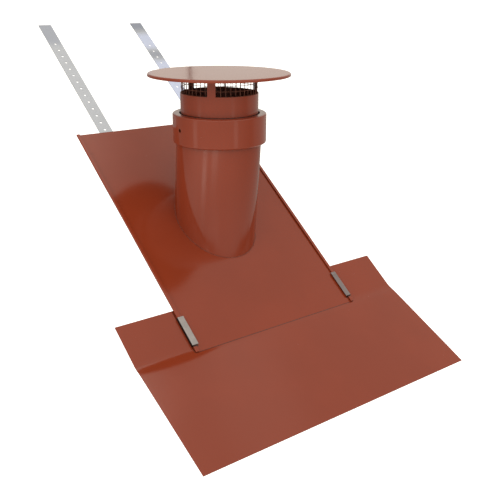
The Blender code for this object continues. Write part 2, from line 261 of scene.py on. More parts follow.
class Nodes:
    """The node tree of a material or of the world."""

    def __init__(self, tree):
        self.tree = tree

    def add(self, kind, settings=None, sockets=None, output=0):
        """Adds a node, sets it up, fills its sockets and gives one output."""
        node = self.tree.nodes.new(kind)
        for name, value in (settings or {}).items():
            setattr(node, name, value)
        for key, value in (sockets or {}).items():
            self.fill(node.inputs[key], value)
        return Value(self, node.outputs[output])

    def fill(self, socket, value):
        if isinstance(value, Value):
            self.tree.links.new(value.socket, socket)
        else:
            socket.default_value = value

    def smooth_step(self, value, start, end):
        """0 below start and 1 above end, or the other way round where start is above end."""
        return self.add(
            "ShaderNodeMapRange", {"interpolation_type": "SMOOTHSTEP"},
            {0: value, 1: start, 2: end, 3: 0.0, 4: 1.0})

    def band(self, value, low, high, edge):
        """1 between low and high, with soft edges."""
        inside = self.smooth_step(value, low - edge, low + edge)
        return inside * self.smooth_step(value, high + edge, high - edge)

    def parts(self, place):
        """The X, Y and Z of a place."""
        return [self.add("ShaderNodeSeparateXYZ", None, {0: place}, output=axis)
                for axis in "XYZ"]

    def in_roof(self):
        """How far a point is across, up and above the slope."""
        return self.parts(self.object_place(turn=(-ROOF_PITCH, 0, 0)))

    def from_axis(self):
        """How far a point is from the head's axis."""
        x, y, _ = self.parts(self.object_place())
        away = y - AXIS_Y
        return self.add("ShaderNodeMath", {"operation": "SQRT"}, {0: x * x + away * away})

    def noise(self, place, scale, detail=2.0):
        return self.add("ShaderNodeTexNoise", None,
                        {"Vector": place, "Scale": scale, "Detail": detail})

    def bump(self, strength, distance, height):
        return self.add("ShaderNodeBump", None,
                        {"Strength": strength, "Distance": distance, "Height": height},
                        output="Normal")

    def mix(self, factor, first, second):
        """Mixes two colours, as values or links."""
        return self.add("ShaderNodeMix", {"data_type": "RGBA"},
                        {0: factor, 6: first, 7: second}, output=2)

    def object_place(self, turn=(0.0, 0.0, 0.0), scale=(1.0, 1.0, 1.0)):
        """Object coordinates, turned and stretched for a pattern."""
        place = self.add("ShaderNodeTexCoord", output="Object")
        return self.add("ShaderNodeMapping", None,
                        {"Vector": place, "Rotation": turn, "Scale": scale})


def new_finish(name):
    """An empty material with its nodes and its shader."""
    material = bpy.data.materials.new(name)
    material.use_nodes = True
    nodes = Nodes(material.node_tree)
    return material, nodes, material.node_tree.nodes["Principled BSDF"]


def shade(colour, share):
    return (*(channel * share for channel in colour), 1.0)


def painted_shade_lines(nodes, patches):
    """Lines of painted shade, as boxes across and up the slope in the roof frame."""
    across, slope, _ = nodes.in_roof()
    lines = [nodes.band(across, left, right, SHADE_LINE_EDGE) * nodes.band(slope, low, high, SHADE_LINE_EDGE)
             for left, right, low, high in patches]
    return sum(lines[1:], lines[0])


def shade_inside_pipe(nodes):
    """Painted shade on the pipe's inside, and on its wall below the collar's top."""
    radius = bpy.context.scene.roof_vent_sizes.pipe_radius
    inside = nodes.smooth_step(nodes.from_axis(), radius - 0.0003, radius - 0.0007)
    height = nodes.parts(nodes.object_place())[2]
    return nodes.add("ShaderNodeMath", {"operation": "MAXIMUM"},
                     {0: inside * 0.72,
                      1: nodes.smooth_step(height, COLLAR_HIGH.z + 0.0012, COLLAR_HIGH.z)})


def painted_finish(look, name, shade_mask=None):
    """Semi-gloss coating: faint mottle, orange peel, dust specks and hairline scuffs."""
    material, nodes, shader = new_finish(name)
    place = nodes.object_place()
    cloud = nodes.noise(place, 7.0, detail=3.0)
    grain = nodes.noise(place, 900.0)
    colour = nodes.mix(nodes.smooth_step(cloud, 0.35, 0.65),
                       shade(look.paint, 0.965), shade(look.paint, 1.03))
    colour = nodes.mix(nodes.smooth_step(grain, 0.55, 0.8) * 0.10,
                       colour, shade(look.paint, 1.35))
    speck = nodes.add("ShaderNodeTexVoronoi", None, {"Vector": place, "Scale": 60.0})
    dust = nodes.smooth_step(speck, 0.045, 0.02) * nodes.smooth_step(cloud, 0.45, 0.6)
    colour = nodes.mix(dust * 0.35, colour, (0.45, 0.32, 0.26, 1.0))
    scuff_place = nodes.object_place(turn=(0.3, 0.2, 0.7), scale=(9.0, 260.0, 60.0))
    scuff = nodes.smooth_step(nodes.noise(scuff_place, 1.0, detail=4.0), 0.66, 0.74)
    roughness = look.paint_roughness + cloud * 0.05 + scuff * 0.10 + dust * 0.3 - 0.025
    # Painted shade where a mask is given: the coating goes near black and rougher there
    if shade_mask:
        shade_share = shade_mask(nodes)
        colour = nodes.mix(shade_share, colour, shade(look.paint, 0.08))
        roughness = shade_share * 0.35 + roughness
    nodes.fill(shader.inputs["Base Color"], colour)
    nodes.fill(shader.inputs["Roughness"], roughness)
    peel = nodes.noise(place, 260.0, detail=1.0) + grain * 0.2
    nodes.fill(shader.inputs["Normal"], nodes.bump(0.35, 0.00006, peel))
    return material


def galvanised_finish(look, name, metal=None, bright=(), dull=(), shade_mask=None):
    """Hot-dip zinc: spangle cells of unlike tone, with a faint drawing grain.

    The metal is plain zinc where no other colour is given. Bright and dull stretches are painted
    reflections, painted sheen and painted dimming, given as low, high and share, up the slope.
    """
    material, nodes, shader = new_finish(name)
    place = nodes.object_place()
    wander = nodes.add("ShaderNodeTexNoise", None,
                       {"Vector": place, "Scale": 120.0, "Detail": 2.0}, output="Color")
    bent = nodes.add("ShaderNodeMix", {"data_type": "VECTOR"},
                     {0: 0.0025, 4: place, 5: wander}, output=1)
    spangle = nodes.add("ShaderNodeTexVoronoi", None, {"Vector": bent, "Scale": 170.0},
                        output="Color")
    tone = nodes.add("ShaderNodeSeparateColor", None, {0: spangle})
    cloud = nodes.noise(place, 30.0, detail=3.0)
    light = tone * 0.55 + cloud * 0.45
    metal = metal or look.zinc
    colour = nodes.mix(light, shade(metal, 0.86), shade(metal, 1.10))
    slope = nodes.in_roof()[1] + cloud * 0.012
    # Painted reflections: bright stretches of painted sheen, dull stretches of painted dimming
    for stretches, tone_there in ((bright, shade(look.painted_zinc_sheen, 1.0)),
                                  (dull, shade(look.painted_zinc_sheen, 0.42))):
        for low, high, share in stretches:
            colour = nodes.mix(nodes.band(slope, low, high, 0.014) * share, colour, tone_there)
    # Painted shade where a mask is given: the zinc goes near black there
    if shade_mask:
        colour = nodes.mix(shade_mask(nodes), colour, shade(look.zinc, 0.05))
    nodes.fill(shader.inputs["Base Color"], colour)
    shader.inputs["Metallic"].default_value = 1.0
    nodes.fill(shader.inputs["Roughness"], look.zinc_roughness + tone * 0.12 - 0.06)
    grain = nodes.noise(nodes.object_place(scale=(1400.0, 40.0, 40.0)), 1.0)
    nodes.fill(shader.inputs["Normal"], nodes.bump(0.25, 0.00005, tone * 0.6 + grain * 0.4))
    return material


def wire_finish(look, name):
    """Dark wire under a thin drift of the coating, dull and uneven."""
    material, nodes, shader = new_finish(name)
    place = nodes.object_place()
    cloud = nodes.noise(place, 260.0, detail=3.0)
    colour = nodes.mix(nodes.smooth_step(cloud, 0.35, 0.7),
                       shade(look.wire, 0.7), shade(look.wire, 1.4))
    nodes.fill(shader.inputs["Base Color"], colour)
    nodes.fill(shader.inputs["Roughness"], cloud * 0.2 + 0.42)
    nodes.fill(shader.inputs["Normal"], nodes.bump(0.4, 0.00005, nodes.noise(place, 1500.0)))
    return material


# Modelling by hand

def settings_of(context):
    return context.scene.roof_vent_sizes, context.scene.roof_vent_colours


def go_to(mode):
    if not bpy.context.mode.startswith(mode):
        bpy.ops.object.mode_set(mode=mode)


def deselect():
    go_to("OBJECT")
    bpy.ops.object.select_all(action="DESELECT")


def named(name):
    """The piece that an operator just added, under its own name."""
    piece = bpy.context.object
    piece.name = name
    piece.data.name = name
    bpy.ops.object.transform_apply(location=True, rotation=True, scale=True)
    return piece


def add_piece(name, operator, **settings):
    """Adds a basic shape by itself, under its own name."""
    deselect()
    operator(**settings)
    return named(name)


def fit(piece, size, place):
    """Scales and moves the piece and fixes both in its mesh."""
    piece.scale = size
    piece.location = place
    bpy.ops.object.transform_apply(location=True, rotation=False, scale=True)


def select(piece, part, test):
    """Goes to edit mode and selects the vertices, edges or faces that pass the test."""
    go_to("EDIT")
    bpy.ops.mesh.select_mode(type=part)
    bpy.ops.mesh.select_all(action="DESELECT")
    mesh = bmesh.from_edit_mesh(piece.data)
    items = {"VERT": mesh.verts, "EDGE": mesh.edges, "FACE": mesh.faces}[part]
    for item in items:
        if test(item):
            item.select_set(True)
    bmesh.update_edit_mesh(piece.data)


def pick(piece, test, part="EDGE"):
    """Selects the edges or faces of which every corner's place passes the test."""
    select(piece, part, lambda item: all(test(vert.co) for vert in item.verts))


def near(value, wanted, slack=1e-5):
    return abs(value - wanted) < slack


def on_circle(co, radius):
    return near(math.hypot(co.x, co.y), radius, 1e-4)


def extrude(move=(0, 0, 0)):
    bpy.ops.mesh.extrude_region_move(TRANSFORM_OT_translate={"value": move})


def extrude_ring(radius_share, rise):
    """Extrudes a ring about the upright axis to a share of its radius, and moves it up."""
    extrude((0, 0, rise))
    bpy.ops.transform.resize(value=(radius_share, radius_share, 1), center_override=(0, 0, 0))


def use(piece, kind, **settings):
    """Adds a modifier and applies it."""
    go_to("OBJECT")
    modifier = piece.modifiers.new(kind.title(), kind)
    for name, value in settings.items():
        setattr(modifier, name, value)
    bpy.ops.object.modifier_apply(modifier=modifier.name)


def cut(piece, cutter, operation="DIFFERENCE"):
    """Cuts the piece with another, or joins them, and removes the other."""
    deselect()
    bpy.context.view_layer.objects.active = piece
    use(piece, "BOOLEAN", operation=operation, solver="EXACT", object=cutter)
    bpy.data.objects.remove(cutter)
    piece.select_set(True)


def deburr(piece, radius):
    """Rounds every sharp edge a little."""
    use(piece, "BEVEL", width=radius, segments=2, limit_method="ANGLE",
        angle_limit=DEBURR_ANGLE, harden_normals=False)


def thicken(piece, sizes, offset):
    """Gives a sheet its thickness, about its middle at 0 or inward at -1, and rounds its edges."""
    use(piece, "SOLIDIFY", thickness=sizes.sheet, offset=offset, use_even_offset=True)
    deburr(piece, sizes.edge_round)


def settle(piece, finish, place=None, nodes=()):
    """Fixes the piece's place in its mesh, gives it its finish and puts it in the frame."""
    deselect()
    piece.select_set(True)
    bpy.context.view_layer.objects.active = piece
    if place is not None:
        piece.matrix_world = place
        bpy.ops.object.transform_apply(location=True, rotation=True, scale=True)
    bpy.ops.object.shade_smooth_by_angle(angle=SHADE_ANGLE)
    use(piece, "WEIGHTED_NORMAL", weight=100, keep_sharp=True)
    piece.data.materials.clear()
    piece.data.materials.append(finish)
    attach(piece, "root")
    if nodes:
        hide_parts(*nodes)
    deselect()


def bulge(piece, strength):
    """Soft bulges of thin sheet."""
    texture = bpy.data.textures.get("sheet_wave") or bpy.data.textures.new("sheet_wave", "CLOUDS")
    texture.noise_scale = 0.16
    texture.noise_depth = 0
    use(piece, "DISPLACE", texture=texture, strength=strength, texture_coords="LOCAL")


def lean_frame(sizes):
    """The leaning tube's frame: its axis is Z, and it crosses the head's axis at the origin."""
    cross = Vector((0, AXIS_Y, COLLAR_HIGH.z - sizes.tube_cross))
    return Matrix.Translation(cross) @ Matrix.Rotation(sizes.tube_lean, 4, "X")


def add_duct(sizes, radius, vertices):
    """A tube on the leaning axis, long enough to pass the plate."""
    length = 4 * (COLLAR_HIGH.z - PIPE_LOW.z) + COLLAR_HIGH.z
    piece = add_piece("duct", bpy.ops.mesh.primitive_cylinder_add,
                      vertices=vertices, radius=radius, depth=length)
    piece.matrix_world = lean_frame(sizes)
    bpy.ops.object.transform_apply(location=True, rotation=True, scale=True)
    return piece


def face_outward():
    bpy.ops.mesh.select_all(action="SELECT")
    bpy.ops.mesh.normals_make_consistent(inside=False)


def bisect(point, normal, fill=False):
    """Cuts off what is past the plane, on its normal's side."""
    go_to("EDIT")
    bpy.ops.mesh.select_all(action="SELECT")
    bpy.ops.mesh.bisect(plane_co=point, plane_no=normal, use_fill=fill, clear_outer=True)
    go_to("OBJECT")


class ROOFVENT_OT_base_plate(bpy.types.Operator):
    """Model the base plate with its folded side edges, its dipped lower edge and its duct hole."""

    bl_idname = "roofvent.base_plate"
    bl_label = "Base plate"

    def execute(self, context):
        sizes, look = settings_of(context)
        curl = (PLATE_HIGH.z - PLATE_LOW.z - sizes.sheet) / 2
        level = PLATE_LOW.z + sizes.sheet / 2
        flat_x = PLATE_HIGH.x - sizes.sheet / 2 - curl
        length = PLATE_HIGH.y - PLATE_LOW.y
        piece = add_piece("plate_sheet", bpy.ops.mesh.primitive_grid_add,
                          x_subdivisions=54, y_subdivisions=78, size=1)
        fit(piece, (2 * flat_x, length, 1), (0, PLATE_LOW.y + length / 2, level))
        bulge(piece, sizes.wave)
        for side in (-1, 1):
            pick(piece, lambda co: near(co.x, side * flat_x))
            bpy.ops.mesh.spin(steps=8, angle=side * math.pi, axis=(0, 1, 0),
                              center=(side * flat_x, 0, level + curl))
            extrude((-side * (sizes.hem_width - sizes.sheet / 2 - curl), 0, 0))
        self.dip_lower_edge(piece, sizes, level)
        thicken(piece, sizes, 0)
        settle(piece, painted_finish(look, "plate_paint", self.shade_under_clip_ends), ROOF,
               ["base_plate"])
        cut(piece, add_duct(sizes, sizes.tube_radius - sizes.sheet, 144))
        return {"FINISHED"}

    @staticmethod
    def shade_under_clip_ends(nodes):
        """Painted shade under the clips' lower ends."""
        cover = PLATE_HIGH.x - bpy.context.scene.roof_vent_sizes.clip_cover
        patches = []
        for node, left, right in (("clip_left", PLATE_LOW.x, -cover),
                                  ("clip_right", cover, PLATE_HIGH.x)):
            low, _ = roof_box(node)
            patches.append((left, right, low.y - 0.0024, low.y + 0.0010))
        return painted_shade_lines(nodes, patches) * 0.9

    @staticmethod
    def dip_lower_edge(piece, sizes, level):
        """Bends the lowest strip down in small steps, as a folding bar does."""
        for step in range(DRIP_STEPS):
            line = PLATE_LOW.y + sizes.drip_length * (1 - step / DRIP_STEPS)
            select(piece, "VERT", lambda vert: vert.co.y < line)
            bpy.ops.transform.rotate(value=-sizes.drip_angle / DRIP_STEPS, orient_axis="X",
                                     center_override=(0, line, level))


class ROOFVENT_OT_apron(bpy.types.Operator):
    """Model the apron sheet and bend it flatter below the plate."""

    bl_idname = "roofvent.apron"
    bl_label = "Apron sheet"

    def execute(self, context):
        sizes, look = settings_of(context)
        low, high = roof_box("apron_sheet")
        level = sizes.sheet / 2
        bend_from = PLATE_LOW.y + sizes.bend_length / 2
        length = high.y - bend_from + sizes.bend_length + self.lower_reach(bend_from, sizes)
        piece = add_piece("apron_skin", bpy.ops.mesh.primitive_grid_add,
                          x_subdivisions=72, y_subdivisions=60, size=1)
        fit(piece, (high.x - low.x, length, 1), (0, high.y - length / 2, level))
        bulge(piece, sizes.wave)
        flat_y = [vert.co.y for vert in piece.data.vertices]
        line_y, line_z = bend_from, level
        step_length = sizes.bend_length / BEND_STEPS
        before = 0.0
        for step, turned in enumerate(self.bend_turns(sizes)):
            limit = bend_from - step_length * step
            select(piece, "VERT", lambda vert: flat_y[vert.index] < limit)
            bpy.ops.transform.rotate(value=turned - before, orient_axis="X",
                                     center_override=(0, line_y, line_z))
            before = turned
            line_y -= step_length * math.cos(turned)
            line_z += step_length * math.sin(turned)
        thicken(piece, sizes, 0)
        settle(piece, painted_finish(look, "apron_paint", self.shade_along_plate_edges),
               ROOF, ["apron_sheet"])
        return {"FINISHED"}

    @staticmethod
    def bend_turns(sizes):
        """Turn after each step: the sheet is folded a little too far and then springs back."""
        shares = [(step + 1) / BEND_STEPS for step in range(BEND_STEPS)]
        return [APRON_BEND * min(1.0, share * 1.4) + math.sin(math.pi * share) * sizes.bend_spring
                for share in shares]

    @staticmethod
    def shade_along_plate_edges(nodes):
        """Painted shade along the plate's side edges and under its lower edge."""
        side, foot = PLATE_HIGH.x, PLATE_LOW.y
        return painted_shade_lines(nodes, [(-side - 0.0016, -side, foot - 0.0004, 1.0),
                             (side, side + 0.0010, foot - 0.001, 1.0),
                             (-side, side, foot - 0.0014, foot + 0.002)]) * 0.75

    def lower_reach(self, bend_from, sizes):
        """Length of the flat lower part, which ends where the solid does."""
        half = sizes.sheet / 2
        step_length = sizes.bend_length / BEND_STEPS
        turns = self.bend_turns(sizes)
        bend_y = bend_from - sum(map(math.cos, turns)) * step_length
        bend_z = half + sum(map(math.sin, turns)) * step_length
        slope = ROOF_PITCH - APRON_BEND
        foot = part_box("apron_sheet")[0].y + half * math.sin(slope)
        drop = bend_y * math.cos(ROOF_PITCH) - bend_z * math.sin(ROOF_PITCH) - foot
        return drop / math.cos(slope)


class ROOFVENT_OT_clips(bpy.types.Operator):
    """Model the two galvanised clips round the plate's folded edges."""

    bl_idname = "roofvent.clips"
    bl_label = "Edge clips"

    def execute(self, context):
        sizes, look = settings_of(context)
        # Both clips are the same zinc: the right clip's darker metal is painted shade
        for node, side, metal in (("clip_left", -1, (0.445, 0.420, 0.420)),
                                  ("clip_right", 1, (0.300, 0.262, 0.268))):
            self.make_clip(sizes, look, node, side, metal)
        return {"FINISHED"}

    @staticmethod
    def make_clip(sizes, look, node, side, metal):
        low, high = roof_box(node)
        half = sizes.sheet / 2
        corner = sizes.clip_corner
        outside = max(abs(low.x), abs(high.x)) - half
        inside = min(abs(low.x), abs(high.x))
        corner_x = side * (outside - corner)
        top = high.z - half
        bottom = low.z + half
        cover = PLATE_HIGH.x - sizes.clip_cover
        piece = add_piece(node + "_strip", bpy.ops.mesh.primitive_grid_add,
                          x_subdivisions=2, y_subdivisions=8, size=1)
        fit(piece, (outside - corner - cover, high.y - low.y, 1),
            (side * (outside - corner + cover) / 2, (low.y + high.y) / 2, top))
        pick(piece, lambda co: near(co.x, corner_x))
        bpy.ops.mesh.spin(steps=5, angle=-side * math.pi / 2, axis=(0, 1, 0),
                          center=(corner_x, 0, top - corner))
        extrude((0, 0, bottom - top + 2 * corner))
        bpy.ops.mesh.spin(steps=5, angle=-side * math.pi / 2, axis=(0, 1, 0),
                          center=(corner_x, 0, bottom + corner))
        extrude((-side * (outside - corner - inside), 0, 0))
        thicken(piece, sizes, 0)

        def shade_on_fold(nodes):
            """Painted shade on the fold's outer side and on the clip's lower end."""
            outer = side * (outside + half)
            edges = sorted((outer - side * 0.0005, outer + side * 0.001))
            return painted_shade_lines(nodes, [(*edges, low.y - 1, high.y + 1),
                                 (-1, 1, low.y - 0.001, low.y + 0.0006)])

        settle(piece, galvanised_finish(look, node + "_zinc", metal, shade_mask=shade_on_fold),
               ROOF, [node])


class ROOFVENT_OT_straps(bpy.types.Operator):
    """Model the two perforated straps."""

    bl_idname = "roofvent.straps"
    bl_label = "Fixing straps"

    def execute(self, context):
        sizes, look = settings_of(context)
        # Both straps are the same zinc: their bright and dull stretches are painted reflections
        finishes = {
            "strap_left": galvanised_finish(look, "strap_left_zinc", dull=[(0.785, 1.0, 0.45)]),
            "strap_right": galvanised_finish(
                look, "strap_right_zinc",
                bright=[(0.757, 0.812, 0.85), (0.66, 0.712, 0.9), (0.4, 0.665, 1.0)],
                dull=[(0.827, 1.0, 0.75), (0.722, 0.745, 0.5)]),
        }
        for node, first in (("strap_left", sizes.strap_left_first),
                            ("strap_right", sizes.strap_right_first)):
            low, high = roof_box(node)
            piece = add_piece(node + "_strip", bpy.ops.mesh.primitive_cube_add, size=1)
            fit(piece, high - low, (low + high) / 2)
            deburr(piece, sizes.edge_round)
            cut(piece, self.hole_row(sizes, first, low, high))
            self.round_holes(piece, sizes, first, low, high)
            settle(piece, finishes[node], ROOF, [node])
        return {"FINISHED"}

    @staticmethod
    def hole_row(sizes, first, low, high):
        """One drill, copied at the holes' pitch down the strap."""
        middle = (low + high) / 2
        length = high.y - low.y - first - sizes.strap_hole
        drill = add_piece("strap_drill", bpy.ops.mesh.primitive_cylinder_add,
                          vertices=24, radius=sizes.strap_hole / 2, depth=10 * (high.z - low.z),
                          location=(middle.x, high.y - first, middle.z))
        use(drill, "ARRAY", count=int(length / sizes.strap_pitch) + 1,
            use_relative_offset=False, use_constant_offset=True,
            constant_offset_displace=(0, -sizes.strap_pitch, 0))
        return drill

    @staticmethod
    def round_holes(piece, sizes, first, low, high):
        """Breaks the punched holes' upper and lower edges."""
        radius = sizes.strap_hole / 2
        middle_x = (low.x + high.x) / 2

        def on_rim(co):
            count = round((high.y - first - co.y) / sizes.strap_pitch)
            centre_y = high.y - first - count * sizes.strap_pitch
            away = math.hypot(co.x - middle_x, co.y - centre_y)
            return abs(away - radius) < 2e-5

        def flat_rim(edge):
            return near(edge.verts[0].co.z, edge.verts[1].co.z) and all(
                on_rim(vert.co) for vert in edge.verts)

        select(piece, "EDGE", flat_rim)
        bpy.ops.mesh.bevel(offset=sizes.edge_round, segments=2, affect="EDGES")
        go_to("OBJECT")


class ROOFVENT_OT_duct_tube(bpy.types.Operator):
    """Model the leaning tube on the plate and the weld round its foot."""

    bl_idname = "roofvent.duct_tube"
    bl_label = "Duct tube"

    def execute(self, context):
        sizes, look = settings_of(context)
        face = PLATE_LOW.z + sizes.sheet
        on_plate = ROOF @ Vector((0, 0, face + GAP))
        square = ROOF.to_3x3() @ Vector((0, 0, 1))
        tube = add_duct(sizes, sizes.tube_radius, 180)
        tube.name = "tube_wall"
        bisect((0, 0, COLLAR_HIGH.z - sizes.sheet - GAP), (0, 0, 1))
        bisect(on_plate, -square)
        thicken(tube, sizes, -1)
        settle(tube, painted_finish(look, "tube_paint"), nodes=["sleeve_tube"])
        self.make_foot_weld(sizes, look, face, square)
        return {"FINISHED"}

    @staticmethod
    def make_foot_weld(sizes, look, face, square):
        """A bead along the ellipse where the tube meets the plate."""
        lean = lean_frame(sizes)
        axis = lean.to_3x3() @ Vector((0, 0, 1))
        start = lean.translation
        on_plate = ROOF @ Vector((0, 0, face))
        along = (on_plate - start).dot(square) / axis.dot(square)
        centre = ROOF.inverted() @ (start + axis * along)
        bead = sizes.foot_weld
        piece = add_piece("foot_weld", bpy.ops.mesh.primitive_torus_add,
                          major_radius=sizes.tube_radius + bead * 0.3, minor_radius=bead,
                          major_segments=180, minor_segments=10)
        fit(piece, (1, 1 / axis.dot(square), 1), centre)
        bisect((0, 0, face), (0, 0, -1), fill=True)

        # Painted shade in the bead where the tube meets the plate, in uneven blots
        def shade_in_bead(nodes):
            blots = nodes.noise(nodes.object_place(), 90.0)
            return nodes.smooth_step(blots, 0.25, 0.65) * 0.25 + 0.2

        settle(piece, painted_finish(look, "weld_paint", shade_in_bead), ROOF)


class ROOFVENT_OT_rain_collar(bpy.types.Operator):
    """Model the collar: a lip round the pipe, a flat top, a skirt and a foot turned in."""

    bl_idname = "roofvent.rain_collar"
    bl_label = "Rain collar"

    def execute(self, context):
        sizes, look = settings_of(context)
        bore = sizes.pipe_radius + sizes.collar_gap
        outside = COLLAR_HIGH.x
        top = COLLAR_HIGH.z
        foot = COLLAR_LOW.z
        foot_inside = outside - sizes.collar_foot
        piece = add_piece("collar_ring", bpy.ops.mesh.primitive_circle_add,
                          vertices=192, radius=bore, fill_type="NOTHING",
                          location=(0, 0, top - sizes.collar_lip))
        pick(piece, lambda co: True)
        extrude_ring(1, sizes.collar_lip)
        extrude_ring(outside / bore, 0)
        extrude_ring(1, foot - top)
        extrude_ring(foot_inside / outside, 0)
        self.round_ring(piece, bore, top, sizes.collar_bore_edge, 3)
        self.round_ring(piece, outside, top, sizes.collar_edge, 5)
        self.round_ring(piece, outside, foot, sizes.collar_foot * 0.98, 6)
        face_outward()
        thicken(piece, sizes, -1)
        cut(piece, add_piece(
            "collar_drill", bpy.ops.mesh.primitive_cylinder_add,
            vertices=32, radius=sizes.screw_hole / 2, depth=4 * outside,
            rotation=(0, math.pi / 2, 0), location=(0, 0, top - sizes.screw_drop)))
        settle(piece, painted_finish(look, "collar_paint", self.lip_shade),
               AXIS, ["rain_collar"])
        return {"FINISHED"}

    @staticmethod
    def lip_shade(nodes):
        """Painted shade down in the gap round the pipe."""
        wall = bpy.context.scene.roof_vent_sizes.pipe_radius
        return nodes.smooth_step(nodes.from_axis(), wall + 0.0034, wall + 0.0024)

    @staticmethod
    def round_ring(piece, radius, height, rounding, segments):
        pick(piece, lambda co: on_circle(co, radius) and near(co.z, height))
        bpy.ops.mesh.bevel(offset=rounding, segments=segments, affect="EDGES")


class ROOFVENT_OT_head_pipe(bpy.types.Operator):
    """Model the head pipe, with windows between its posts and a pad under each post."""

    bl_idname = "roofvent.head_pipe"
    bl_label = "Head pipe"

    def execute(self, context):
        sizes, look = settings_of(context)
        top = CAP_HIGH.z - sizes.sheet - GAP
        sill = CAP_HIGH.z - sizes.sheet - sizes.window_height
        piece = add_piece("vent_pipe", bpy.ops.mesh.primitive_cylinder_add,
                          vertices=240, radius=sizes.pipe_radius, depth=top - PIPE_LOW.z,
                          end_fill_type="NOTHING", location=(0, 0, (top + PIPE_LOW.z) / 2),
                          rotation=(0, 0, sizes.post_turn))
        go_to("EDIT")
        bpy.ops.mesh.select_all(action="SELECT")
        bpy.ops.mesh.bisect(plane_co=(0, 0, sill), plane_no=(0, 0, 1))
        self.delete_windows(piece, sizes, sill)
        thicken(piece, sizes, -1)
        for number in range(sizes.post_count):
            cut(piece, self.pad(sizes, self.post_angle(sizes, number)), "UNION")
        settle(piece, painted_finish(look, "pipe_paint", shade_inside_pipe), AXIS,
               ["head_pipe"])
        return {"FINISHED"}

    @staticmethod
    def post_angle(sizes, number):
        return sizes.post_turn + 2 * math.pi * number / sizes.post_count

    def delete_windows(self, piece, sizes, sill):
        """Removes the wall above the sill, apart from the posts."""
        half = math.asin(sizes.post_width / 2 / sizes.pipe_radius)
        posts = [self.post_angle(sizes, number) for number in range(sizes.post_count)]

        def in_window(face):
            middle = face.calc_center_median()
            angle = math.atan2(middle.x, -middle.y)
            off = [abs(math.remainder(angle - post, 2 * math.pi)) for post in posts]
            return middle.z > sill and min(off) > half

        select(piece, "FACE", in_window)
        bpy.ops.mesh.delete(type="FACE")

    @staticmethod
    def pad(sizes, angle):
        """A small block between the pipe and the collar's lip."""
        inner = sizes.pipe_radius - sizes.sheet / 2
        outer = math.sqrt((sizes.pipe_radius + sizes.collar_gap - GAP) ** 2
                          - (sizes.post_width / 2) ** 2)
        block = add_piece("post_pad", bpy.ops.mesh.primitive_cube_add, size=1)
        fit(block, (sizes.post_width, outer - inner, PAD_DEPTH),
            (0, -(inner + outer) / 2, COLLAR_HIGH.z - PAD_DEPTH / 2))
        block.rotation_euler = (0, 0, angle)
        bpy.ops.object.transform_apply(location=False, rotation=True, scale=False)
        return block


class ROOFVENT_OT_cap(bpy.types.Operator):
    """Model the cap: a flat disc with its edge turned down."""

    bl_idname = "roofvent.cap"
    bl_label = "Cap disc"

    def execute(self, context):
        sizes, look = settings_of(context)
        radius = CAP_HIGH.x
        top = CAP_HIGH.z
        piece = add_piece("cap_plate", bpy.ops.mesh.primitive_circle_add,
                          vertices=192, radius=radius, fill_type="NGON", location=(0, 0, top))
        pick(piece, lambda co: True, "FACE")
        bpy.ops.mesh.inset(thickness=0.02)
        bpy.ops.mesh.poke()
        pick(piece, lambda co: on_circle(co, radius))
        extrude((0, 0, CAP_LOW.z - top))
        pick(piece, lambda co: on_circle(co, radius) and near(co.z, top))
        bpy.ops.mesh.bevel(offset=sizes.cap_edge, segments=4, affect="EDGES")
        face_outward()
        thicken(piece, sizes, -1)
        lean = Matrix.Translation((0, AXIS_Y, top)) @ Matrix.Rotation(-sizes.cap_tilt, 4, "X")
        settle(piece, painted_finish(look, "cap_paint"),
               lean @ Matrix.Translation((0, 0, -top)), ["cap_disc"])
        return {"FINISHED"}


class ROOFVENT_OT_bird_net(bpy.types.Operator):
    """Model the welded wire net behind the windows."""

    bl_idname = "roofvent.bird_net"
    bl_label = "Bird net"

    def execute(self, context):
        sizes, look = settings_of(context)
        low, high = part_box("bird_net")
        wire = sizes.wire / 2
        outside = sizes.pipe_radius - sizes.sheet - GAP
        level_radius = outside - wire
        upright_radius = level_radius - sizes.wire * 0.9
        levels = int(round((high.z - low.z) / sizes.net_pitch)) + 1
        count = round(2 * math.pi * level_radius / sizes.net_pitch)
        pieces = []
        for number in range(levels):
            height = low.z + wire + number * sizes.net_pitch
            pieces.append(add_piece(
                "level_wire", bpy.ops.mesh.primitive_torus_add,
                major_radius=level_radius, minor_radius=wire, major_segments=96,
                minor_segments=8, location=(0, 0, height)))
        turns = [sizes.net_turn + 2 * math.pi * number / count for number in range(count)]
        lap_step = 1.15 * sizes.wire / upright_radius
        turns += [sizes.net_lap + lap_step * number for number in (-1, 0, 1)]
        for angle in turns:
            place = (upright_radius * math.sin(angle), -upright_radius * math.cos(angle),
                     (low.z + high.z) / 2)
            pieces.append(add_piece(
                "upright_wire", bpy.ops.mesh.primitive_cylinder_add,
                vertices=8, radius=wire, depth=high.z - low.z, location=place))
        deselect()
        for piece in pieces:
            piece.select_set(True)
        bpy.context.view_layer.objects.active = pieces[0]
        bpy.ops.object.join()
        settle(named("wire_net"), wire_finish(look, "net_coat"), AXIS, ["bird_net"])
        return {"FINISHED"}


# The camera as solved from the photo's edges and circles
CAMERA_PLACE = (-0.79387, -0.99809, 0.57066)
CAMERA_TURN = math.radians(37.05)
CAMERA_DIP = math.radians(19.88)
CAMERA_ROLL = math.radians(0.483)
CAMERA_LENS = 51.935

# The studio's floor, with its drop below the part and its glow, and the backdrop
FLOOR_SIZE = 900
FLOOR_DROP = 1.2
FLOOR_GLOW = 0.7
BACKDROP_RADIUS = 440

# The studio's light: its strength, its colour, and each part's light before its patches
LIGHT_STRENGTH = 1.05
LIGHT_COLOUR = (1.06, 1.0, 0.89, 1.0)
ROOM_LIGHT = 0.71
GROUND_LOSS = 0.66
SIDE_WALL_LOSS = 0.42
FRONT_WALL_LOSS = 0.06
REAR_WALL_GAIN = 0.44
TOP_GAIN = 0.34

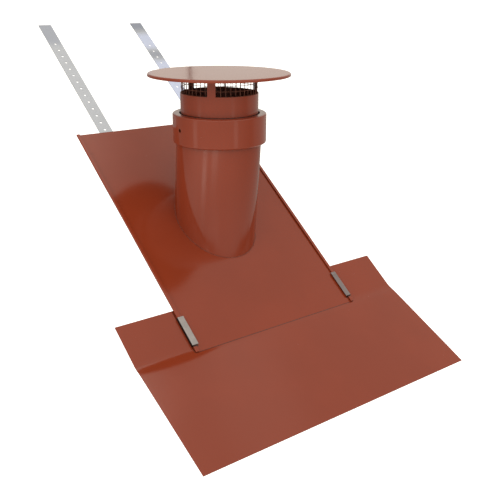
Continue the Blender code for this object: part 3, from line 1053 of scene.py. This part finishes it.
# Soft patches of the studio's light, each as limits and edge across, limits and edge up, and
# light: first in degrees round from the camera's side, positive to the right, and degrees up
WALL_PATCHES = (
    (-62.0, 80.0, 22.0, 5.0, 40.0, 13.0, 0.72),
    (-60.0, 10.0, 5.0, -38.0, -27.0, 5.0, 0.40),
    (128.0, 168.0, 8.0, 14.0, 36.0, 8.0, 0.50),
    (92.0, 165.0, 8.0, -13.0, 2.0, 2.5, 0.2),
    (-112.0, 18.0, 13.0, -20.5, -14.0, 1.8, 0.26),
    (-40.5, -29.0, 3.0, -20.0, -17.6, 0.8, 1.6),
    (-15.0, 1.0, 3.0, -20.4, -17.8, 0.8, 0.95),
    (-64.0, -53.5, 0.8, -12.6, -9.4, 0.8, 0.8),
    (37.5, 47.0, 0.8, -12.6, -9.4, 0.8, 0.65),
    (-175.31, -175.09, 0.05, 1.0, 14.0, 0.05, -0.72),
)

# And on the ceiling, as shares of the height over the part, along X and along Y
CEILING_PATCHES = (
    (0.55, 0.68, 0.03, -0.06, 0.3, 0.05, 0.26),
    (0.30, 0.47, 0.02, 0.07, 0.30, 0.04, 0.75),
)


class ROOFVENT_OT_studio(bpy.types.Operator):
    """Set up the pale floor, the soft light and the camera."""

    bl_idname = "roofvent.studio"
    bl_label = "Studio"

    def execute(self, context):
        self.make_floor(context.scene.roof_vent_colours)
        self.make_light(context)
        self.make_camera(context)
        context.scene.view_settings.view_transform = "Standard"
        return {"FINISHED"}

    @staticmethod
    def make_floor(look):
        """A pale floor and backdrop that only the camera sees, so that they light nothing."""
        material, nodes, shader = new_finish("floor_white")
        tone = nodes.noise(nodes.object_place(), 0.5)
        nodes.fill(shader.inputs["Base Color"],
                   nodes.mix(tone, shade(look.floor, 0.995), shade(look.floor, 1.005)))
        nodes.fill(shader.inputs["Emission Color"], shade(look.floor, 1.0))
        shader.inputs["Emission Strength"].default_value = FLOOR_GLOW
        shader.inputs["Roughness"].default_value = 0.9
        shader.inputs["Specular IOR Level"].default_value = 0.0
        floor = add_piece("studio_floor", bpy.ops.mesh.primitive_plane_add,
                          size=FLOOR_SIZE, location=(0, 0, CAD_BOX[0].z - FLOOR_DROP))
        backdrop = add_piece("studio_backdrop", bpy.ops.mesh.primitive_uv_sphere_add,
                             segments=48, ring_count=24, radius=BACKDROP_RADIUS)
        for piece in (floor, backdrop):
            piece.data.materials.append(material)
            for kind in ("diffuse", "glossy", "transmission", "volume_scatter", "shadow"):
                setattr(piece, "visible_" + kind, False)

    @staticmethod
    def make_light(context):
        """A soft room: one large key light by the camera, dim sides and a pale ceiling."""
        world = bpy.data.worlds.new("soft_studio")
        context.scene.world = world
        world.use_nodes = True
        nodes = Nodes(world.node_tree)
        x, y, z = nodes.parts(nodes.add("ShaderNodeTexCoord", output="Generated"))
        ahead_x, ahead_y = math.sin(CAMERA_TURN), math.cos(CAMERA_TURN)
        turn = nodes.add("ShaderNodeMath", {"operation": "ARCTAN2"},
                         {0: x * ahead_y - y * ahead_x,
                          1: x * -ahead_x - y * ahead_y}) * math.degrees(1)
        rise = nodes.add("ShaderNodeMath", {"operation": "ARCSINE"}, {0: z}) * math.degrees(1)
        height = nodes.add("ShaderNodeMath", {"operation": "MAXIMUM"}, {0: z, 1: 0.05})
        across, along = x / height, y / height

        def patch(first, second, limits):
            left, right, side_edge, low, high, height_edge, share = limits
            return (nodes.band(first, left, right, side_edge)
                    * nodes.band(second, low, high, height_edge) * share)

        light = ROOM_LIGHT - nodes.smooth_step(rise, -40.0, -72.0) * GROUND_LOSS
        walls = nodes.band(rise, -22.0, 20.0, 9.0)
        front = nodes.band(turn, -70.0, 62.0, 34.0)
        light = light - walls * (1 - front) * SIDE_WALL_LOSS
        light = light - nodes.band(rise, -24.0, 2.0, 5.0) * front * FRONT_WALL_LOSS
        behind = nodes.smooth_step(nodes.add("ShaderNodeMath", {"operation": "ABSOLUTE"},
                                             {0: turn}), 148.0, 160.0)
        light = light + behind * nodes.band(rise, 1.0, 14.0, 4.0) * REAR_WALL_GAIN
        light = light + nodes.smooth_step(rise, 58.0, 76.0) * TOP_GAIN
        for limits in WALL_PATCHES:
            light = light + patch(turn, rise, limits)
        ceiling = nodes.smooth_step(rise, 34.0, 42.0)
        for limits in CEILING_PATCHES:
            light = light + patch(across, along, limits) * ceiling
        background = world.node_tree.nodes["Background"]
        nodes.fill(background.inputs["Strength"], light * LIGHT_STRENGTH)
        background.inputs["Color"].default_value = LIGHT_COLOUR

    @staticmethod
    def make_camera(context):
        turn, dip, roll = CAMERA_TURN, CAMERA_DIP, CAMERA_ROLL
        ahead = Vector((math.sin(turn) * math.cos(dip), math.cos(turn) * math.cos(dip),
                        -math.sin(dip)))
        right = Vector((math.cos(turn), -math.sin(turn), 0))
        above = right.cross(ahead)
        rolled_right = right * math.cos(roll) + above * math.sin(roll)
        rolled_above = above * math.cos(roll) - right * math.sin(roll)
        deselect()
        bpy.ops.object.camera_add(location=CAMERA_PLACE)
        camera = context.object
        camera.name = "photo_camera"
        camera.data.name = "photo_camera"
        camera.data.lens = CAMERA_LENS
        camera.data.sensor_width = 36.0
        axes = Matrix((rolled_right, rolled_above, -ahead)).transposed()
        camera.rotation_euler = axes.to_euler()
        camera.data.clip_end = 2000
        context.scene.camera = camera


class ROOFVENT_PT_panel(bpy.types.Panel):
    """Lists the steps and the sizes."""

    bl_label = "Roof vent outlet"
    bl_idname = "ROOFVENT_PT_panel"
    bl_space_type = "VIEW_3D"
    bl_region_type = "UI"
    bl_category = "Roof Vent"

    def draw(self, context):
        for step in STEPS:
            self.layout.operator(step.bl_idname)
        for group in (context.scene.roof_vent_sizes, context.scene.roof_vent_colours):
            box = self.layout.box()
            for name in group.__annotations__:
                box.prop(group, name)


STEPS = (
    ROOFVENT_OT_base_plate,
    ROOFVENT_OT_apron,
    ROOFVENT_OT_clips,
    ROOFVENT_OT_straps,
    ROOFVENT_OT_duct_tube,
    ROOFVENT_OT_rain_collar,
    ROOFVENT_OT_head_pipe,
    ROOFVENT_OT_cap,
    ROOFVENT_OT_bird_net,
    ROOFVENT_OT_studio,
)
CLASSES = (RoofVentSizes, RoofVentColours, *STEPS, ROOFVENT_PT_panel)


def register():
    for cls in CLASSES:
        bpy.utils.register_class(cls)
    bpy.types.Scene.roof_vent_sizes = PointerProperty(type=RoofVentSizes)
    bpy.types.Scene.roof_vent_colours = PointerProperty(type=RoofVentColours)


def unregister():
    del bpy.types.Scene.roof_vent_colours
    del bpy.types.Scene.roof_vent_sizes
    for cls in reversed(CLASSES):
        bpy.utils.unregister_class(cls)


def main():
    register()
    bpy.ops.roofvent.base_plate()
    bpy.ops.roofvent.apron()
    bpy.ops.roofvent.clips()
    bpy.ops.roofvent.straps()
    bpy.ops.roofvent.duct_tube()
    bpy.ops.roofvent.rain_collar()
    bpy.ops.roofvent.head_pipe()
    bpy.ops.roofvent.cap()
    bpy.ops.roofvent.bird_net()
    bpy.ops.roofvent.studio()


if __name__ == "__main__":
    main()
